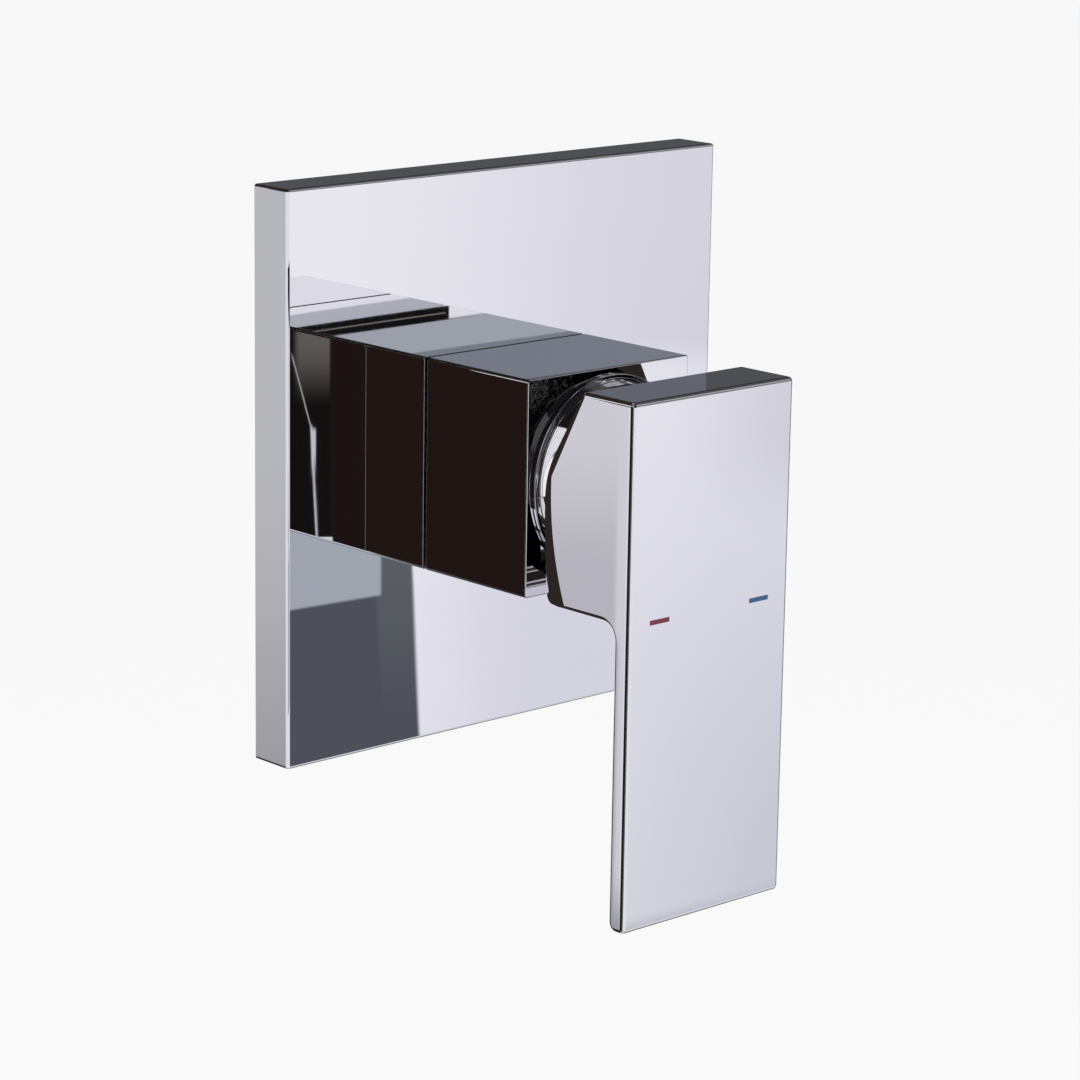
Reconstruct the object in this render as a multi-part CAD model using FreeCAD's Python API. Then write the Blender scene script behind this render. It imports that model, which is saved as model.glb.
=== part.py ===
import FreeCAD, Part
import math
import os

# Shower mixer valve: a square wall plate, a square sleeve in two halves and a lever with a hollow hub.
# Millimetres, +Z up. The wall plane is y = 0, the front faces -Y and the valve axis is the Y axis.
# "Depth" is the distance out of the wall, so a point at depth d lies at y = -d.

# Wall plate
plate_side = 120.0
plate_depth = 10.5
plate_wall = 1.5
plate_round = 0.6
plate_left_margin = 10.5
plate_top_margin = 30.5
foam_width = 3.0

# Cartridge case. It is laid round the carrier, and it sets the barrel, the square sleeve and the hub.
housing_shoulder = 4.0
housing_wall = 1.4
housing_neck_wall = 1.6
housing_neck_rise = 1.0
ceiling_wall = 2.0
base_flange = 4.0
base_height = 7.0
base_clearance = 0.1
seat_gap = 0.3
locating_pin_radius = 1.5
locating_pin_length = 3.0
locating_pin_clearance = 0.1
locating_pin_x = 11.0
locating_pin_z = 7.0

# Ports and discs. Angles count from +X towards +Z: hot enters lower left, cold lower right, and the mixed
# water leaves at the top.
hot_angle = 210.0
cold_angle = 330.0
outlet_angle = 90.0
port_circle = 7.6
port_radius = 3.2
seal_wall = 1.6
seal_depth = 1.8
disc_seal_wall = 1.2
disc_seal_depth = 1.2
disc_thickness = 4.0
disc_film = 0.05
fixed_disc_clearance = 0.2
disc_key_radius = 1.4
disc_key_clearance = 0.1
inlet_slot_inner = 6.1
inlet_slot_outer = 9.3
inlet_slot_angle = 50.0
outlet_slot_radius = 2.6
outlet_slot_start = 1.0
disc_side_clearance = 0.5
chamber_radius = 5.2
chamber_depth = 2.2

# Slider, carrier and stem
slider_plate = 3.3
slider_skirt_wall = 1.2
slider_skirt_drop = 2.0
slider_disc_clearance = 0.05
key_side_wall = 2.9
key_end_wall = 1.2
key_stem_clearance = 0.7
key_clearance = 0.2
slide_end_clearance = 0.5
glide_gap = 0.3
carrier_flange = 3.7
carrier_wall = 1.2
carrier_top_above_pivot = 6.0
carrier_flange_clearance = 0.4
turn_clearance = 0.3
carrier_ring_below_top = 2.2
carrier_ring_section = 0.8
carrier_ring_clearance = 0.05
pivot_rise = 12.0
pin_radius = 1.5
pin_clearance = 0.05
ball_reach = 8.0
ball_radius = 2.9
ball_clearance = 0.2
ball_floor_clearance = 0.4
stem_neck_radius = 2.0
stem_half = 4.0
stem_block_below_pivot = 4.0
stem_slot_clearance = 0.3
stem_end_inset = 4.15
stem_lead = 0.6
lift_angle = 25.0

# Retaining nut and temperature limit ring
thread_step = 0.4
thread_clearance = 0.1
nut_height = 5.0
nut_neck_clearance = 0.4
nut_slots = 4
nut_slot_width = 4.0
nut_slot_depth = 2.5
limit_height = 3.5
limit_skirt_clearance = 0.7
limit_clearance = 0.1
limit_teeth = 18
limit_tooth_radius = 0.7

# Valve body
pocket_clearance = 0.2
barrel_wall = 1.9
thread_run_out = 1.0
neck_end_gap = 0.2
flange_thickness = 6.0
flange_corner = 5.0
screw_circle = 52.0
screw_count = 4
screw_first_angle = 45.0
screw_hole_radius = 2.75
screw_edge = 2.85
passage_radius = 4.0
spigot_circle = 11.0
spigot_radius = 6.5
spigot_length = 12.0
spigot_lead = 0.8
spigot_ring_section = 0.9
spigot_ring_proud = 0.15
groove_side_clearance = 0.1
grommet_width = 2.0
plate_hole_clearance = 0.8

# Square sleeve
sleeve_wall = 1.6
sleeve_clearance = 0.4
sleeve_round = 0.6
rim_round = 0.25
rear_length = 29.7
seam_width = 0.9
seam_recess = 0.9
seam_round = 0.1
front_length = 29.3
front_wall = 2.0
sleeve_ring_section = 0.6
sleeve_ring_inset = 6.0
sleeve_ring_clearance = 0.02

# Dome cap
washer_thickness = 0.25
washer_inset = 0.2
cap_hole_clearance = 0.3
cap_rim_overlap = 2.2
cap_rim_height = 0.6
cap_rim_width = 0.87
cap_rim_round = 0.2
cap_groove_width = 0.3
cap_groove_depth = 0.25
dome_wall_height = 3.2
dome_wall_taper = 0.3
dome_height = 6.85
dome_hole_clearance = 0.3
cap_skirt_wall = 1.9
cap_skirt_length = 7.65
cap_skirt_recess = 0.5

# Lever
pivot_behind_front = 4.4
hub_gap = 4.5
hub_depth = 24.35
hub_wall = 2.1
hub_cavity_corner = 11.0
bevel_margin = 6.0
bevel_foot = 3.9
bevel_round = 20.0
paddle_thickness = 4.1
paddle_drop = 82.25
lever_edge = 0.85
hub_heel_round = 1.6
paddle_root_round = 3.5
paddle_toe_round = 1.8
hub_chamfer_top = 1.0
hub_chamfer_bevel = 2.4
hub_chamfer_middle = 3.2
hub_chamfer_foot = 6.8
hub_chamfer_slope = 0.25
boss_wall = 3.5
boss_swing_room = 5.3
socket_clearance = 0.05
socket_end_clearance = 0.3
screw_radius = 2.45
screw_length = 12.0
screw_clearance = 0.05
screw_from_stem_end = 3.5
screw_socket_flats = 2.5
screw_socket_depth = 2.5
web_wall = 3.0
plug_radius = 3.15
plug_thickness = 2.2
plug_stem_radius = 2.3
plug_stem_length = 1.8
plug_clearance = 0.05
mark_width = 5.2
mark_height = 0.95
mark_depth = 0.3
mark_offset = 13.4
mark_drop = 21.4

# The slider's stroke is split evenly about the axis: it starts above and ends below.
lift = math.radians(lift_angle)
slide_stroke = ball_reach * math.sin(lift)
slider_start = slide_stroke / 2

# Widths worked out from the stem's ball outwards
ball_slot_half = ball_radius + ball_clearance
key_half_x = ball_slot_half + key_side_wall
key_half_z = ball_slot_half + slider_start + key_end_wall
guide_half_x = key_half_x + key_clearance
guide_half_z = key_half_z + slider_start + slide_end_clearance
carrier_neck_radius = math.hypot(guide_half_x, guide_half_z) + carrier_wall
housing_neck_inner = carrier_neck_radius + turn_clearance
housing_neck_outer = housing_neck_inner + housing_neck_wall
housing_radius = housing_neck_outer + housing_shoulder
cavity_radius = housing_radius - housing_wall
skirt_radius = cavity_radius - disc_side_clearance - slider_start
moving_disc_radius = skirt_radius - slider_skirt_wall
pocket_radius = housing_radius + pocket_clearance
barrel_radius = pocket_radius + barrel_wall
thread_radius = pocket_radius + thread_step
sleeve_inner = barrel_radius + sleeve_clearance
sleeve_half = sleeve_inner + sleeve_wall
plate_hole = barrel_radius + plate_hole_clearance
cap_hole = thread_radius + cap_hole_clearance
cap_rim_radius = thread_radius + cap_rim_overlap
male_thread_radius = thread_radius - thread_clearance
cap_skirt_bore = male_thread_radius - cap_skirt_wall
flange_half = screw_circle / 2 * math.cos(math.radians(screw_first_angle)) + screw_hole_radius + screw_edge
axis_from_left = sleeve_half + plate_left_margin
axis_from_top = sleeve_half + plate_top_margin
seal_radius = port_radius + seal_wall
disc_seal_radius = port_radius + disc_seal_wall

# Depths of the sleeve, the cap and the lever
plate_inside = plate_depth - plate_wall
seam_start = plate_depth + rear_length
front_start = seam_start + seam_width
sleeve_front = front_start + front_length
neck_end = sleeve_front - front_wall - neck_end_gap
cap_seat = sleeve_front + washer_thickness
cap_rim_front = cap_seat + cap_rim_height
dome_top = cap_rim_front + dome_height
hub_back = sleeve_front + hub_gap
lever_front = hub_back + hub_depth
paddle_back = lever_front - paddle_thickness

# Depths of the cartridge, stacked on the floor of the body's pocket below the stem's pivot
pivot_depth = sleeve_front - pivot_behind_front
carrier_flange_top = pivot_depth - pivot_rise
carrier_bottom = carrier_flange_top - carrier_flange
slider_top = carrier_bottom - glide_gap
moving_top = slider_top - slider_plate
moving_bottom = moving_top - disc_thickness
fixed_top = moving_bottom - disc_film
base_top = fixed_top - disc_thickness
base_bottom = base_top - base_height
pocket_floor = base_bottom - seat_gap
housing_bottom = base_bottom + base_flange
ceiling = carrier_flange_top + glide_gap
shoulder = ceiling + ceiling_wall
carrier_top = pivot_depth + carrier_top_above_pivot
housing_top = carrier_top + housing_neck_rise
carrier_ring_depth = carrier_top - carrier_ring_below_top
ball_depth = pivot_depth - ball_reach
stem_swing = stem_block_below_pivot * math.cos(lift) + stem_half * math.sin(lift)
key_top = pivot_depth - stem_swing - key_stem_clearance
nut_top = shoulder + nut_height
stem_end = paddle_back - stem_end_inset
screw_depth = stem_end - screw_from_stem_end

# Reach of a cut past the face that it opens, the slack in comparing lengths, the largest share of a wall
# that a rounding may take, and the sides of a hexagon key
past = 1.0
tiny = 1e-6
round_limit = 0.4
hexagon_sides = 6

OUTWARD = FreeCAD.Vector(0, -1, 0)
RIGHT = FreeCAD.Vector(1, 0, 0)
UP = FreeCAD.Vector(0, 0, 1)


def point(x, depth, z):
    return FreeCAD.Vector(x, -depth, z)


def rod(radius, start, end, x=0.0, z=0.0):
    """Cylinder along the valve axis between two depths."""
    return Part.makeCylinder(radius, end - start, point(x, start, z), OUTWARD)


def ring(inner, outer, start, end, x=0.0, z=0.0):
    return rod(outer, start, end, x, z).cut(rod(inner, start - past, end + past, x, z))


def block(x0, x1, start, end, z0, z1):
    return Part.makeBox(x1 - x0, end - start, z1 - z0, FreeCAD.Vector(x0, -end, z0))


def bar(half_x, half_z, start, end):
    """Block centred on the valve axis."""
    return block(-half_x, half_x, start, end, -half_z, half_z)


def o_ring(ring_radius, section, depth, x=0.0, z=0.0):
    return Part.makeTorus(ring_radius, section, point(x, depth, z), OUTWARD)


def axial_edges(shape):
    return [edge for edge in shape.Edges if abs(edge.BoundBox.YLength - shape.BoundBox.YLength) < tiny
            and edge.BoundBox.XLength < tiny and edge.BoundBox.ZLength < tiny]


def edges_at_depth(shape, depth):
    return [edge for edge in shape.Edges if abs(edge.BoundBox.YMin + depth) < tiny
            and abs(edge.BoundBox.YMax + depth) < tiny]


def rounded_bar(half, corner, start, end):
    """Square bar on the valve axis with rounded long edges."""
    shape = bar(half, half, start, end)
    return shape.makeFillet(corner, axial_edges(shape))


def rounded_outline(corners, place):
    """Closed wire through (u, v, radius) corners, each rounded by a tangent arc of its own radius."""
    edges = []
    ends = []
    for index, (u, v, radius) in enumerate(corners):
        here = FreeCAD.Vector(u, v, 0)
        before = FreeCAD.Vector(*corners[index - 1][:2], 0) - here
        after = FreeCAD.Vector(*corners[(index + 1) % len(corners)][:2], 0) - here
        before.normalize()
        after.normalize()
        half_angle = before.getAngle(after) / 2
        reach = radius / math.tan(half_angle)
        middle = before + after
        middle.normalize()
        centre_distance = radius / math.sin(half_angle)
        first = here + before * reach
        last = here + after * reach
        crown = here + middle * (centre_distance - radius)
        ends.append((first, crown, last))
    for index, (first, crown, last) in enumerate(ends):
        following = ends[(index + 1) % len(ends)][0]
        edges.append(Part.Arc(place(first), place(crown), place(last)).toShape())
        edges.append(Part.LineSegment(place(last), place(following)).toShape())
    return Part.Wire(edges)


def revolved(corners):
    """Solid of revolution about the valve axis from (radius, depth) corners and arcs given as triples."""
    edges = []
    for start, middle, end in corners:
        a = point(start[0], start[1], 0)
        b = point(end[0], end[1], 0)
        if middle is None:
            edges.append(Part.LineSegment(a, b).toShape())
        else:
            edges.append(Part.Arc(a, point(middle[0], middle[1], 0), b).toShape())
    face = Part.Face(Part.Wire(edges))
    return face.revolve(point(0, 0, 0), OUTWARD, 360)


def fused(first, *others):
    return first.fuse(list(others)).removeSplitter()


def around(radius, degrees):
    """x and z of a point on a circle about the valve axis, counted from +X towards +Z."""
    angle = math.radians(degrees)
    return radius * math.cos(angle), radius * math.sin(angle)


port_angles = {"hot": hot_angle, "cold": cold_angle, "outlet": outlet_angle}
ports = {name: around(port_circle, angle) for name, angle in port_angles.items()}
spigots = {name: around(spigot_circle, angle) for name, angle in port_angles.items()}
locating_pins = [(-locating_pin_x, locating_pin_z), (locating_pin_x, locating_pin_z)]


def make_wall_plate():
    left = -axis_from_left
    top = axis_from_top
    shell = block(left, left + plate_side, 0, plate_depth, top - plate_side, top)
    shell = shell.makeFillet(plate_round, axial_edges(shell))
    shell = shell.makeFillet(plate_round, edges_at_depth(shell, plate_depth))
    hollow = block(left + plate_wall, left + plate_side - plate_wall, -past, plate_inside,
                   top - plate_side + plate_wall, top - plate_wall)
    return shell.cut(hollow).cut(rod(plate_hole, 0, plate_depth + past))


def make_foam_seal():
    def frame_block(inset, start, end):
        left = -axis_from_left + plate_wall + inset
        top = axis_from_top - plate_wall - inset
        side = plate_side - 2 * (plate_wall + inset)
        return block(left, left + side, start, end, top - side, top)
    return frame_block(0, 0, plate_inside).cut(frame_block(foam_width, -past, plate_inside + past))


def make_plate_grommet():
    collar = rod(barrel_radius + grommet_width, flange_thickness, plate_inside)
    lip = rod(plate_hole, plate_inside, plate_depth)
    return fused(collar, lip).cut(rod(barrel_radius, 0, plate_depth + past))


def spigot_groove_radius():
    return spigot_radius + spigot_ring_proud - 2 * spigot_ring_section


def make_spigot(x, z):
    spigot = rod(spigot_radius, -spigot_length, 0, x, z)
    spigot = spigot.makeChamfer(spigot_lead, edges_at_depth(spigot, -spigot_length))
    half_groove = spigot_ring_section + groove_side_clearance
    middle = -spigot_length / 2
    groove = ring(spigot_groove_radius(), spigot_radius + past,
                  middle - half_groove, middle + half_groove, x, z)
    return spigot.cut(groove)


def make_passage(name):
    """Slanted water way from the pocket floor to the wall plane, then straight through the spigot."""
    inner = point(ports[name][0], pocket_floor, ports[name][1])
    outer = point(spigots[name][0], 0, spigots[name][1])
    way = inner - outer
    slant = Part.makeCylinder(passage_radius, way.Length, outer, way)
    joint = Part.makeSphere(passage_radius, outer)
    mouth = rod(port_radius, pocket_floor - port_radius, pocket_floor + past, *ports[name])
    straight = rod(passage_radius, -spigot_length - past, 0, *spigots[name])
    return fused(slant, joint, straight, mouth)


def sleeve_ring_depths():
    return [plate_depth + sleeve_ring_inset, front_start + sleeve_ring_inset]


def sleeve_ring_radius():
    return sleeve_inner - sleeve_ring_clearance - sleeve_ring_section


def make_valve_body():
    flange = rounded_bar(flange_half, flange_corner, 0, flange_thickness)
    for index in range(screw_count):
        x, z = around(screw_circle / 2, screw_first_angle + index * 360 / screw_count)
        flange = flange.cut(rod(screw_hole_radius, -past, flange_thickness + past, x, z))
    stubs = [make_spigot(x, z) for x, z in spigots.values()]
    body = fused(flange, rod(barrel_radius, 0, neck_end), *stubs)
    body = body.cut(rod(pocket_radius, pocket_floor, neck_end + past))
    body = body.cut(rod(thread_radius, shoulder - thread_run_out, neck_end + past))
    half_groove = sleeve_ring_section + groove_side_clearance
    for depth in sleeve_ring_depths():
        groove_floor = sleeve_ring_radius() - sleeve_ring_section
        body = body.cut(ring(groove_floor, barrel_radius + past, depth - half_groove, depth + half_groove))
    for x, z in locating_pins:
        hole_radius = locating_pin_radius + locating_pin_clearance
        hole_depth = locating_pin_length + locating_pin_clearance
        body = body.cut(rod(hole_radius, pocket_floor - hole_depth, pocket_floor + past, x, z))
    for name in ports:
        body = body.cut(make_passage(name))
    return body


def make_spigot_o_rings():
    ring_radius = spigot_groove_radius() + spigot_ring_section
    return [o_ring(ring_radius, spigot_ring_section, -spigot_length / 2, x, z) for x, z in spigots.values()]


def make_sleeve_o_rings():
    return [o_ring(sleeve_ring_radius(), sleeve_ring_section, depth) for depth in sleeve_ring_depths()]


def make_rear_sleeve():
    tube = rounded_bar(sleeve_half, sleeve_round, plate_depth, seam_start)
    tube = tube.makeFillet(seam_round, edges_at_depth(tube, seam_start))
    return tube.cut(bar(sleeve_inner, sleeve_inner, plate_depth - past, seam_start + past))


def make_seam_ring():
    outer = sleeve_half - seam_recess
    frame = bar(outer, outer, seam_start, front_start)
    return frame.cut(bar(sleeve_inner, sleeve_inner, seam_start - past, front_start + past))


def make_front_sleeve():
    tube = rounded_bar(sleeve_half, sleeve_round, front_start, sleeve_front)
    tube = tube.makeFillet(seam_round, edges_at_depth(tube, front_start))
    tube = tube.makeFillet(rim_round, edges_at_depth(tube, sleeve_front))
    tube = tube.cut(bar(sleeve_inner, sleeve_inner, front_start - past, sleeve_front - front_wall))
    return tube.cut(rod(cap_hole, neck_end, sleeve_front + past))


def make_cap_washer():
    return ring(cap_hole, cap_rim_radius - washer_inset, sleeve_front, cap_seat)


def make_dome_cap():
    """Thin rim on the washer, a fine groove and the dome on its wall, with a threaded skirt behind."""
    groove_outer = cap_rim_radius - cap_rim_width
    dome_foot = groove_outer - cap_groove_width
    hole = housing_neck_outer + dome_hole_clearance
    skirt_end = cap_seat - cap_skirt_length
    skirt_stop = cap_seat + cap_skirt_recess
    groove_floor = cap_rim_front - cap_groove_depth
    lean = math.sqrt(0.5)
    shoulder_radius = dome_foot - dome_wall_taper
    shoulder_depth = cap_rim_front + dome_wall_height
    crown = (hole + (shoulder_radius - hole) * lean, shoulder_depth + (dome_top - shoulder_depth) * lean)
    profile = [
        ((hole, skirt_stop), None, (hole, dome_top)),
        ((hole, dome_top), crown, (shoulder_radius, shoulder_depth)),
        ((shoulder_radius, shoulder_depth), None, (dome_foot, cap_rim_front)),
        ((dome_foot, cap_rim_front), None, (dome_foot, groove_floor)),
        ((dome_foot, groove_floor), None, (groove_outer, groove_floor)),
        ((groove_outer, groove_floor), None, (groove_outer, cap_rim_front)),
        ((groove_outer, cap_rim_front), None, (cap_rim_radius, cap_rim_front)),
        ((cap_rim_radius, cap_rim_front), None, (cap_rim_radius, cap_seat)),
        ((cap_rim_radius, cap_seat), None, (male_thread_radius, cap_seat)),
        ((male_thread_radius, cap_seat), None, (male_thread_radius, skirt_end)),
        ((male_thread_radius, skirt_end), None, (cap_skirt_bore, skirt_end)),
        ((cap_skirt_bore, skirt_end), None, (cap_skirt_bore, skirt_stop)),
        ((cap_skirt_bore, skirt_stop), None, (hole, skirt_stop)),
    ]
    cap = revolved(profile)
    rim_edges = [edge for edge in edges_at_depth(cap, cap_rim_front)
                 if edge.BoundBox.XLength > 2 * groove_outer - tiny]
    return cap.makeFillet(min(cap_rim_round, round_limit * cap_rim_width), rim_edges)


def make_retaining_nut():
    nut = ring(housing_neck_outer + nut_neck_clearance, male_thread_radius, shoulder, nut_top)
    for index in range(nut_slots):
        slot = block(0, male_thread_radius + past, nut_top - nut_slot_depth, nut_top + past,
                     -nut_slot_width / 2, nut_slot_width / 2)
        nut = nut.cut(slot.rotate(point(0, 0, 0), OUTWARD, index * 360 / nut_slots))
    return nut


def make_temperature_limit_ring():
    inner = housing_neck_outer + limit_clearance
    outer = cap_skirt_bore - limit_skirt_clearance
    collar = ring(inner, outer, nut_top, nut_top + limit_height)
    for index in range(limit_teeth):
        x, z = around(outer, index * 360 / limit_teeth)
        collar = collar.cut(rod(limit_tooth_radius, nut_top - past, nut_top + limit_height + past, x, z))
    return collar


def make_cartridge_housing():
    """Plain case with a neck, and two ribs inside that key the fixed disc."""
    case = fused(rod(housing_radius, housing_bottom, shoulder),
                 rod(housing_neck_outer, shoulder, housing_top))
    case = case.cut(rod(cavity_radius, housing_bottom - past, ceiling))
    case = case.cut(rod(housing_neck_inner, ceiling - past, housing_top + past))
    ribs = []
    for side in (-1, 1):
        rib = rod(disc_key_radius, base_top, fixed_top, side * cavity_radius)
        ribs.append(rib.common(rod(cavity_radius, base_top, fixed_top)))
    return fused(case, *ribs)


def make_cartridge_base():
    base = fused(rod(housing_radius, base_bottom, housing_bottom),
                 rod(cavity_radius - base_clearance, base_bottom, base_top))
    for x, z in ports.values():
        base = base.cut(rod(port_radius, base_bottom - past, base_top + past, x, z))
        base = base.cut(rod(seal_radius, base_bottom - past, base_bottom + seal_depth, x, z))
        base = base.cut(rod(disc_seal_radius, base_top - disc_seal_depth, base_top + past, x, z))
    pins = [rod(locating_pin_radius, pocket_floor - locating_pin_length, base_bottom, x, z)
            for x, z in locating_pins]
    return fused(base, *pins)


def make_base_seals():
    return [ring(port_radius, seal_radius, pocket_floor, base_bottom + seal_depth, x, z)
            for x, z in ports.values()]


def make_disc_seals():
    return [ring(port_radius, disc_seal_radius, base_top - disc_seal_depth, base_top, x, z)
            for x, z in ports.values()]


def make_fixed_disc():
    """Ceramic disc with two curved inlet slots and a straight outlet slot that reaches the middle."""
    disc = rod(cavity_radius - fixed_disc_clearance, base_top, fixed_top)
    for side in (-1, 1):
        notch = disc_key_radius + disc_key_clearance
        disc = disc.cut(rod(notch, base_top - past, fixed_top + past, side * cavity_radius))
    for name in ("hot", "cold"):
        start = port_angles[name] - inlet_slot_angle / 2
        sector = ring(inlet_slot_inner, inlet_slot_outer, base_top - past, fixed_top + past)
        reach = 2 * inlet_slot_outer
        limits = [point(0, base_top - past, 0)]
        for degrees in (start, start + inlet_slot_angle):
            x, z = around(reach, degrees)
            limits.append(point(x, base_top - past, z))
        wedge = Part.Face(Part.makePolygon(limits + limits[:1]))
        wedge = wedge.extrude(OUTWARD * (disc_thickness + 2 * past))
        disc = disc.cut(sector.common(wedge))
    slot_end = ports["outlet"][1]
    slot = block(-outlet_slot_radius, outlet_slot_radius, base_top - past, fixed_top + past,
                 outlet_slot_start, slot_end)
    for z in (outlet_slot_start, slot_end):
        disc = disc.cut(rod(outlet_slot_radius, base_top - past, fixed_top + past, 0, z))
    return disc.cut(slot)


def make_moving_disc():
    disc = rod(moving_disc_radius, moving_bottom, moving_top, 0, slider_start)
    return disc.cut(rod(chamber_radius, moving_bottom - past, moving_bottom + chamber_depth, 0, slider_start))


def make_disc_slider():
    """Plate and skirt that hold the moving disc, and a key with a slot for the stem's ball."""
    plate = rod(skirt_radius, moving_top - slider_skirt_drop, slider_top, 0, slider_start)
    seat = rod(moving_disc_radius + slider_disc_clearance, moving_bottom, moving_top, 0, slider_start)
    key = block(-key_half_x, key_half_x, moving_top, key_top,
                slider_start - key_half_z, slider_start + key_half_z)
    slot_floor = ball_depth - ball_radius - ball_floor_clearance
    slot = bar(ball_slot_half, ball_slot_half, slot_floor, key_top + past)
    return fused(plate.cut(seat), key).cut(slot)


def carrier_ring_radius():
    return housing_neck_inner - carrier_ring_clearance - carrier_ring_section


def make_carrier():
    """Turret with a guide slot for the slider's key and a swing slot for the stem."""
    turret = fused(rod(cavity_radius - carrier_flange_clearance, carrier_bottom, carrier_flange_top),
                   rod(carrier_neck_radius, carrier_bottom, carrier_top))
    guide_top = key_top + slide_end_clearance
    turret = turret.cut(bar(guide_half_x, guide_half_z, carrier_bottom - past, guide_top))
    swing_x = stem_half + stem_slot_clearance
    swing_up = (stem_half + carrier_top_above_pivot * math.sin(lift)) / math.cos(lift) + stem_slot_clearance
    swing_down = math.hypot(stem_half, stem_block_below_pivot) + stem_slot_clearance
    turret = turret.cut(block(-swing_x, swing_x, guide_top - past, carrier_top + past, -swing_down, swing_up))
    half_groove = carrier_ring_section + groove_side_clearance
    groove_floor = carrier_ring_radius() - carrier_ring_section
    groove = ring(groove_floor, carrier_neck_radius + past,
                  carrier_ring_depth - half_groove, carrier_ring_depth + half_groove)
    pin_hole = Part.makeCylinder(pin_radius, 2 * carrier_neck_radius,
                                 point(-carrier_neck_radius, pivot_depth, 0), RIGHT)
    return turret.cut(groove).cut(pin_hole)


def make_carrier_o_ring():
    return o_ring(carrier_ring_radius(), carrier_ring_section, carrier_ring_depth)


def make_stem_pin():
    pin_half = math.sqrt(carrier_neck_radius ** 2 - pin_radius ** 2)
    return Part.makeCylinder(pin_radius, 2 * pin_half, point(-pin_half, pivot_depth, 0), RIGHT)


def make_stem():
    block_start = pivot_depth - stem_block_below_pivot
    shank = bar(stem_half, stem_half, block_start, stem_end)
    shank = shank.makeChamfer(stem_lead, edges_at_depth(shank, stem_end))
    neck = rod(stem_neck_radius, ball_depth, pivot_depth)
    ball = Part.makeSphere(ball_radius, point(0, ball_depth, 0))
    eye = Part.makeCylinder(pin_radius + pin_clearance, 2 * stem_half + 2 * past,
                            point(-stem_half - past, pivot_depth, 0), RIGHT)
    return fused(shank, neck, ball).cut(eye)


def hub_back_depth(z):
    """Depth of the hub's back at a height: flat up to the bevel's foot, then sloping forward."""
    return hub_back + max(0.0, z - bevel_foot) * math.tan(math.radians(lift_angle + bevel_margin))


def lever_profile():
    """Side outline of the lever: hub with its bevelled back, and the paddle below."""
    bevel_top = hub_back_depth(sleeve_half)
    corners = [
        (lever_front, sleeve_half, lever_edge),
        (bevel_top, sleeve_half, lever_edge),
        (hub_back, bevel_foot, bevel_round),
        (hub_back, -sleeve_half, hub_heel_round),
        (paddle_back, -sleeve_half, paddle_root_round),
        (paddle_back, -paddle_drop, paddle_toe_round),
        (lever_front, -paddle_drop, lever_edge),
    ]
    return rounded_outline(corners, lambda p: point(-sleeve_half, p.x, p.y))


def hub_back_cut(side):
    """Waste along a back edge of the hub: a shallow chamfer that widens downwards."""
    def waste_outline(run, z):
        back = hub_back_depth(z)
        out_x = sleeve_half + past
        inner_x = sleeve_half - (run + past) * hub_chamfer_slope
        corners = [
            point(side * out_x, back + run + past / hub_chamfer_slope, z),
            point(side * inner_x, back - past, z),
            point(side * out_x, back - past, z),
        ]
        return Part.makePolygon(corners + corners[:1])
    top = waste_outline(hub_chamfer_top, sleeve_half + past)
    bevel = waste_outline(hub_chamfer_bevel, bevel_foot)
    middle = waste_outline(hub_chamfer_middle, (bevel_foot - sleeve_half) / 2)
    foot = waste_outline(hub_chamfer_foot, -sleeve_half)
    return fused(Part.makeLoft([top, bevel], True, False), Part.makeLoft([bevel, middle, foot], True, False))


def mark_block(side):
    return block(side * mark_offset - mark_width / 2, side * mark_offset + mark_width / 2,
                 lever_front - mark_depth, lever_front,
                 -mark_drop - mark_height / 2, -mark_drop + mark_height / 2)


def make_lever_handle():
    casting = Part.Face(lever_profile()).extrude(RIGHT * 2 * sleeve_half)
    sides = [edge for edge in casting.Edges if edge.BoundBox.XLength < tiny]
    casting = casting.makeFillet(lever_edge, sides)
    for side in (-1, 1):
        casting = casting.cut(hub_back_cut(side))
    cavity_half = sleeve_half - hub_wall
    cavity = rounded_bar(cavity_half, hub_cavity_corner, hub_back - past, paddle_back)
    socket_half = stem_half + socket_clearance
    boss_half = socket_half + boss_wall
    boss_start = dome_top + boss_swing_room
    boss = bar(boss_half, boss_half, boss_start, paddle_back)
    hole_radius = screw_radius + screw_clearance
    web_half = hole_radius + web_wall
    web = block(-web_half, web_half, boss_start, paddle_back, -cavity_half, 0)
    casting = fused(casting.cut(cavity), boss, web)
    casting = casting.cut(bar(socket_half, socket_half, boss_start - past, stem_end + socket_end_clearance))
    under = point(0, screw_depth, -sleeve_half)
    screw_hole = Part.makeCylinder(hole_radius, sleeve_half, under, UP)
    plug_seat = Part.makeCylinder(plug_radius + plug_clearance, plug_thickness, under, UP)
    casting = casting.cut(screw_hole).cut(plug_seat)
    for side in (-1, 1):
        casting = casting.cut(mark_block(side))
    return casting


def make_set_screw():
    tip = -stem_half
    screw = Part.makeCylinder(screw_radius, screw_length, point(0, screw_depth, tip - screw_length), UP)
    corner_radius = screw_socket_flats / 2 / math.cos(math.pi / hexagon_sides)
    corners = []
    for index in range(hexagon_sides):
        x, along = around(corner_radius, index * 360 / hexagon_sides)
        corners.append(point(x, screw_depth + along, tip - screw_length))
    socket = Part.Face(Part.makePolygon(corners + corners[:1])).extrude(UP * screw_socket_depth)
    return screw.cut(socket)


def make_screw_cap():
    under = point(0, screw_depth, -sleeve_half)
    head = Part.makeCylinder(plug_radius, plug_thickness, under, UP)
    stub = Part.makeCylinder(plug_stem_radius, plug_thickness + plug_stem_length, under, UP)
    return fused(head, stub)


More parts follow.
